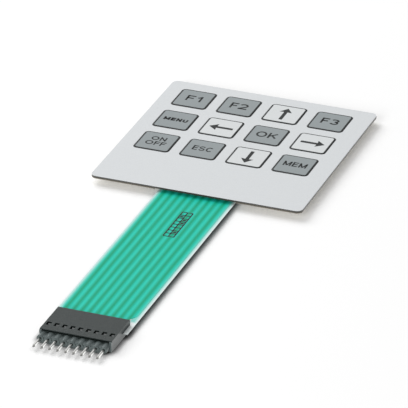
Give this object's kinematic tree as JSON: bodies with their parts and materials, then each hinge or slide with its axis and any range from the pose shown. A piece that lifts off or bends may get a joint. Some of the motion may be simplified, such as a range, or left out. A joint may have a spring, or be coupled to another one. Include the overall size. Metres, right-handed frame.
{
  "type": "membrane keypad",
  "caption": "Flat membrane keypad with embossed keys over snap domes, an adhesive rear face, and a flexible film tail that ends in a single-row pin connector.",
  "frame": {"origin": "centre of the panel's rear adhesive face", "axes": "+Z out of the key side, +Y from the tail's edge towards the far edge of the panel, +X to the right as the keys are read"},
  "size_m": [0.071, 0.1746, 0.0035],
  "materials": {
    "overlay_film": "fine-textured printed polyester",
    "clear_adhesive": "acrylic adhesive sheet",
    "spacer_film": "dark spacer film",
    "dome_steel": "stamped spring steel",
    "circuit_film": "clear polyester film",
    "silver_ink": "screen-printed silver",
    "green_coat": "translucent printed lacquer",
    "rear_adhesive": "acrylic adhesive sheet",
    "housing_plastic": "moulded, finely grained",
    "contact_metal": "bright tin plate on brass"
  },
  "bodies": {
    "root": {"graphic_overlay": "overlay_film", "overlay_adhesive": "clear_adhesive", "dome_spacer": "spacer_film", "dome_1": "dome_steel", "dome_2": "dome_steel", "dome_3": "dome_steel", "dome_4": "dome_steel", "dome_5": "dome_steel", "dome_6": "dome_steel", "dome_7": "dome_steel", "dome_8": "dome_steel", "dome_9": "dome_steel", "dome_10": "dome_steel", "dome_11": "dome_steel", "dome_12": "dome_steel", "circuit_film": "circuit_film", "printed_conductors": "silver_ink", "tail_insulation": "green_coat", "rear_adhesive": "rear_adhesive", "connector_housing": "housing_plastic", "contact_1": "contact_metal", "contact_2": "contact_metal", "contact_3": "contact_metal", "contact_4": "contact_metal", "contact_5": "contact_metal", "contact_6": "contact_metal", "contact_7": "contact_metal", "contact_8": "contact_metal", "contact_9": "contact_metal"}
  },
  "joints": []
}
